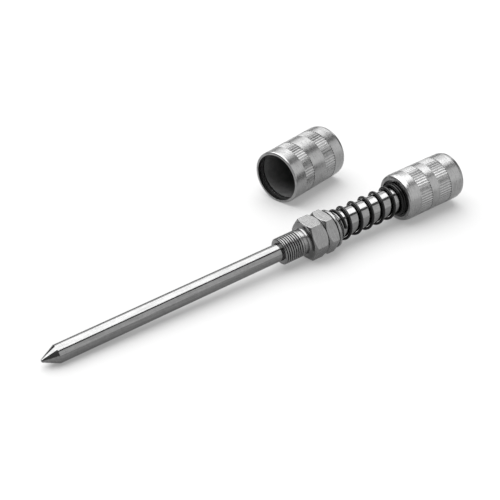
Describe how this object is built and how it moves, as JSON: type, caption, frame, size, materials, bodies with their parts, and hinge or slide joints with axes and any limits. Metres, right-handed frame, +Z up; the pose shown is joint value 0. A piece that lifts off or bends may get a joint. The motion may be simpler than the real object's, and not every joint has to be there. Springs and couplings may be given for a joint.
{
  "type": "spring-return insertion probe with compression gland and loose knurled cap",
  "caption": "Pointed metal insertion probe lying on a table: sheath through a threaded compression gland, black spring on a guide tube, knurled head, and a loose knurled cap beside it.",
  "frame": {"origin": "centre of the gland's round sealing face, on the probe's axis", "axes": "+X along the table from the pointed tip towards the knurled head, +Y away across the table towards the loose cap, +Z up; the probe's own axis rises 2.4 degrees towards the head"},
  "size_m": [0.1705, 0.0638, 0.021],
  "materials": {
    "polished_steel": "polished, fine lengthwise draw marks",
    "plated_gland": "satin, turned",
    "satin_aluminium": "satin, turned, knurled bands",
    "black_spring_steel": "glossy black coating",
    "black_rubber": "matte",
    "black_plastic": "fine matte",
    "bronze": "machined",
    "copper": "drawn wire",
    "ceramic": "fired ceramic, matte"
  },
  "bodies": {
    "gland": {"gland_body": "plated_gland"},
    "plunger": {"probe_tip": "polished_steel", "sheath": "polished_steel", "sensing_element": "ceramic", "insulator_core": "ceramic", "lead_wires": "copper", "head_sleeve": "satin_aluminium", "spring_seat": "polished_steel", "bush_clip": "black_spring_steel", "guide_bush": "bronze", "sheath_collar": "plated_gland", "connector_insert": "black_plastic", "insert_seal": "black_rubber", "contact_sockets": "bronze"},
    "ferrules": {"front_ferrule": "polished_steel", "back_ferrule": "polished_steel"},
    "nut": {"compression_nut": "plated_gland", "lock_ring": "plated_gland", "guide_tube": "polished_steel", "stop_collar": "plated_gland", "return_spring": "black_spring_steel"},
    "cap": {"cap_shell": "satin_aluminium", "cap_seal": "black_rubber", "cap_liner": "black_plastic", "cap_pad": "black_rubber"}
  },
  "joints": [
    {"name": "head_push", "type": "slide", "parent": "nut", "child": "plunger", "axis": [0.9991, 0, 0.0422], "range_m": [-0.01, 0], "stiffness_N_per_m": 300, "springref_m": 0.01, "deforming": ["return_spring"]},
    {"name": "nut_advance", "type": "slide", "parent": "gland", "child": "ferrules", "axis": [0.9991, 0, 0.0422], "range_m": [0, 0.00099]},
    {"name": "nut_turn", "type": "hinge", "parent": "ferrules", "child": "nut", "pos_m": [0, 0, 0], "axis": [0.9991, 0, 0.0422], "range_deg": [0, 359]},
    {"name": "cap_slide", "type": "slide", "parent": "gland", "child": "cap", "axis": [0.974, 0.2267, 0], "range_m": [-0.01, 0.03]}
  ],
  "couplings": [
    {"joint": "nut_turn", "follows": "nut_advance", "rad_per_m": 6283.2}
  ]
}
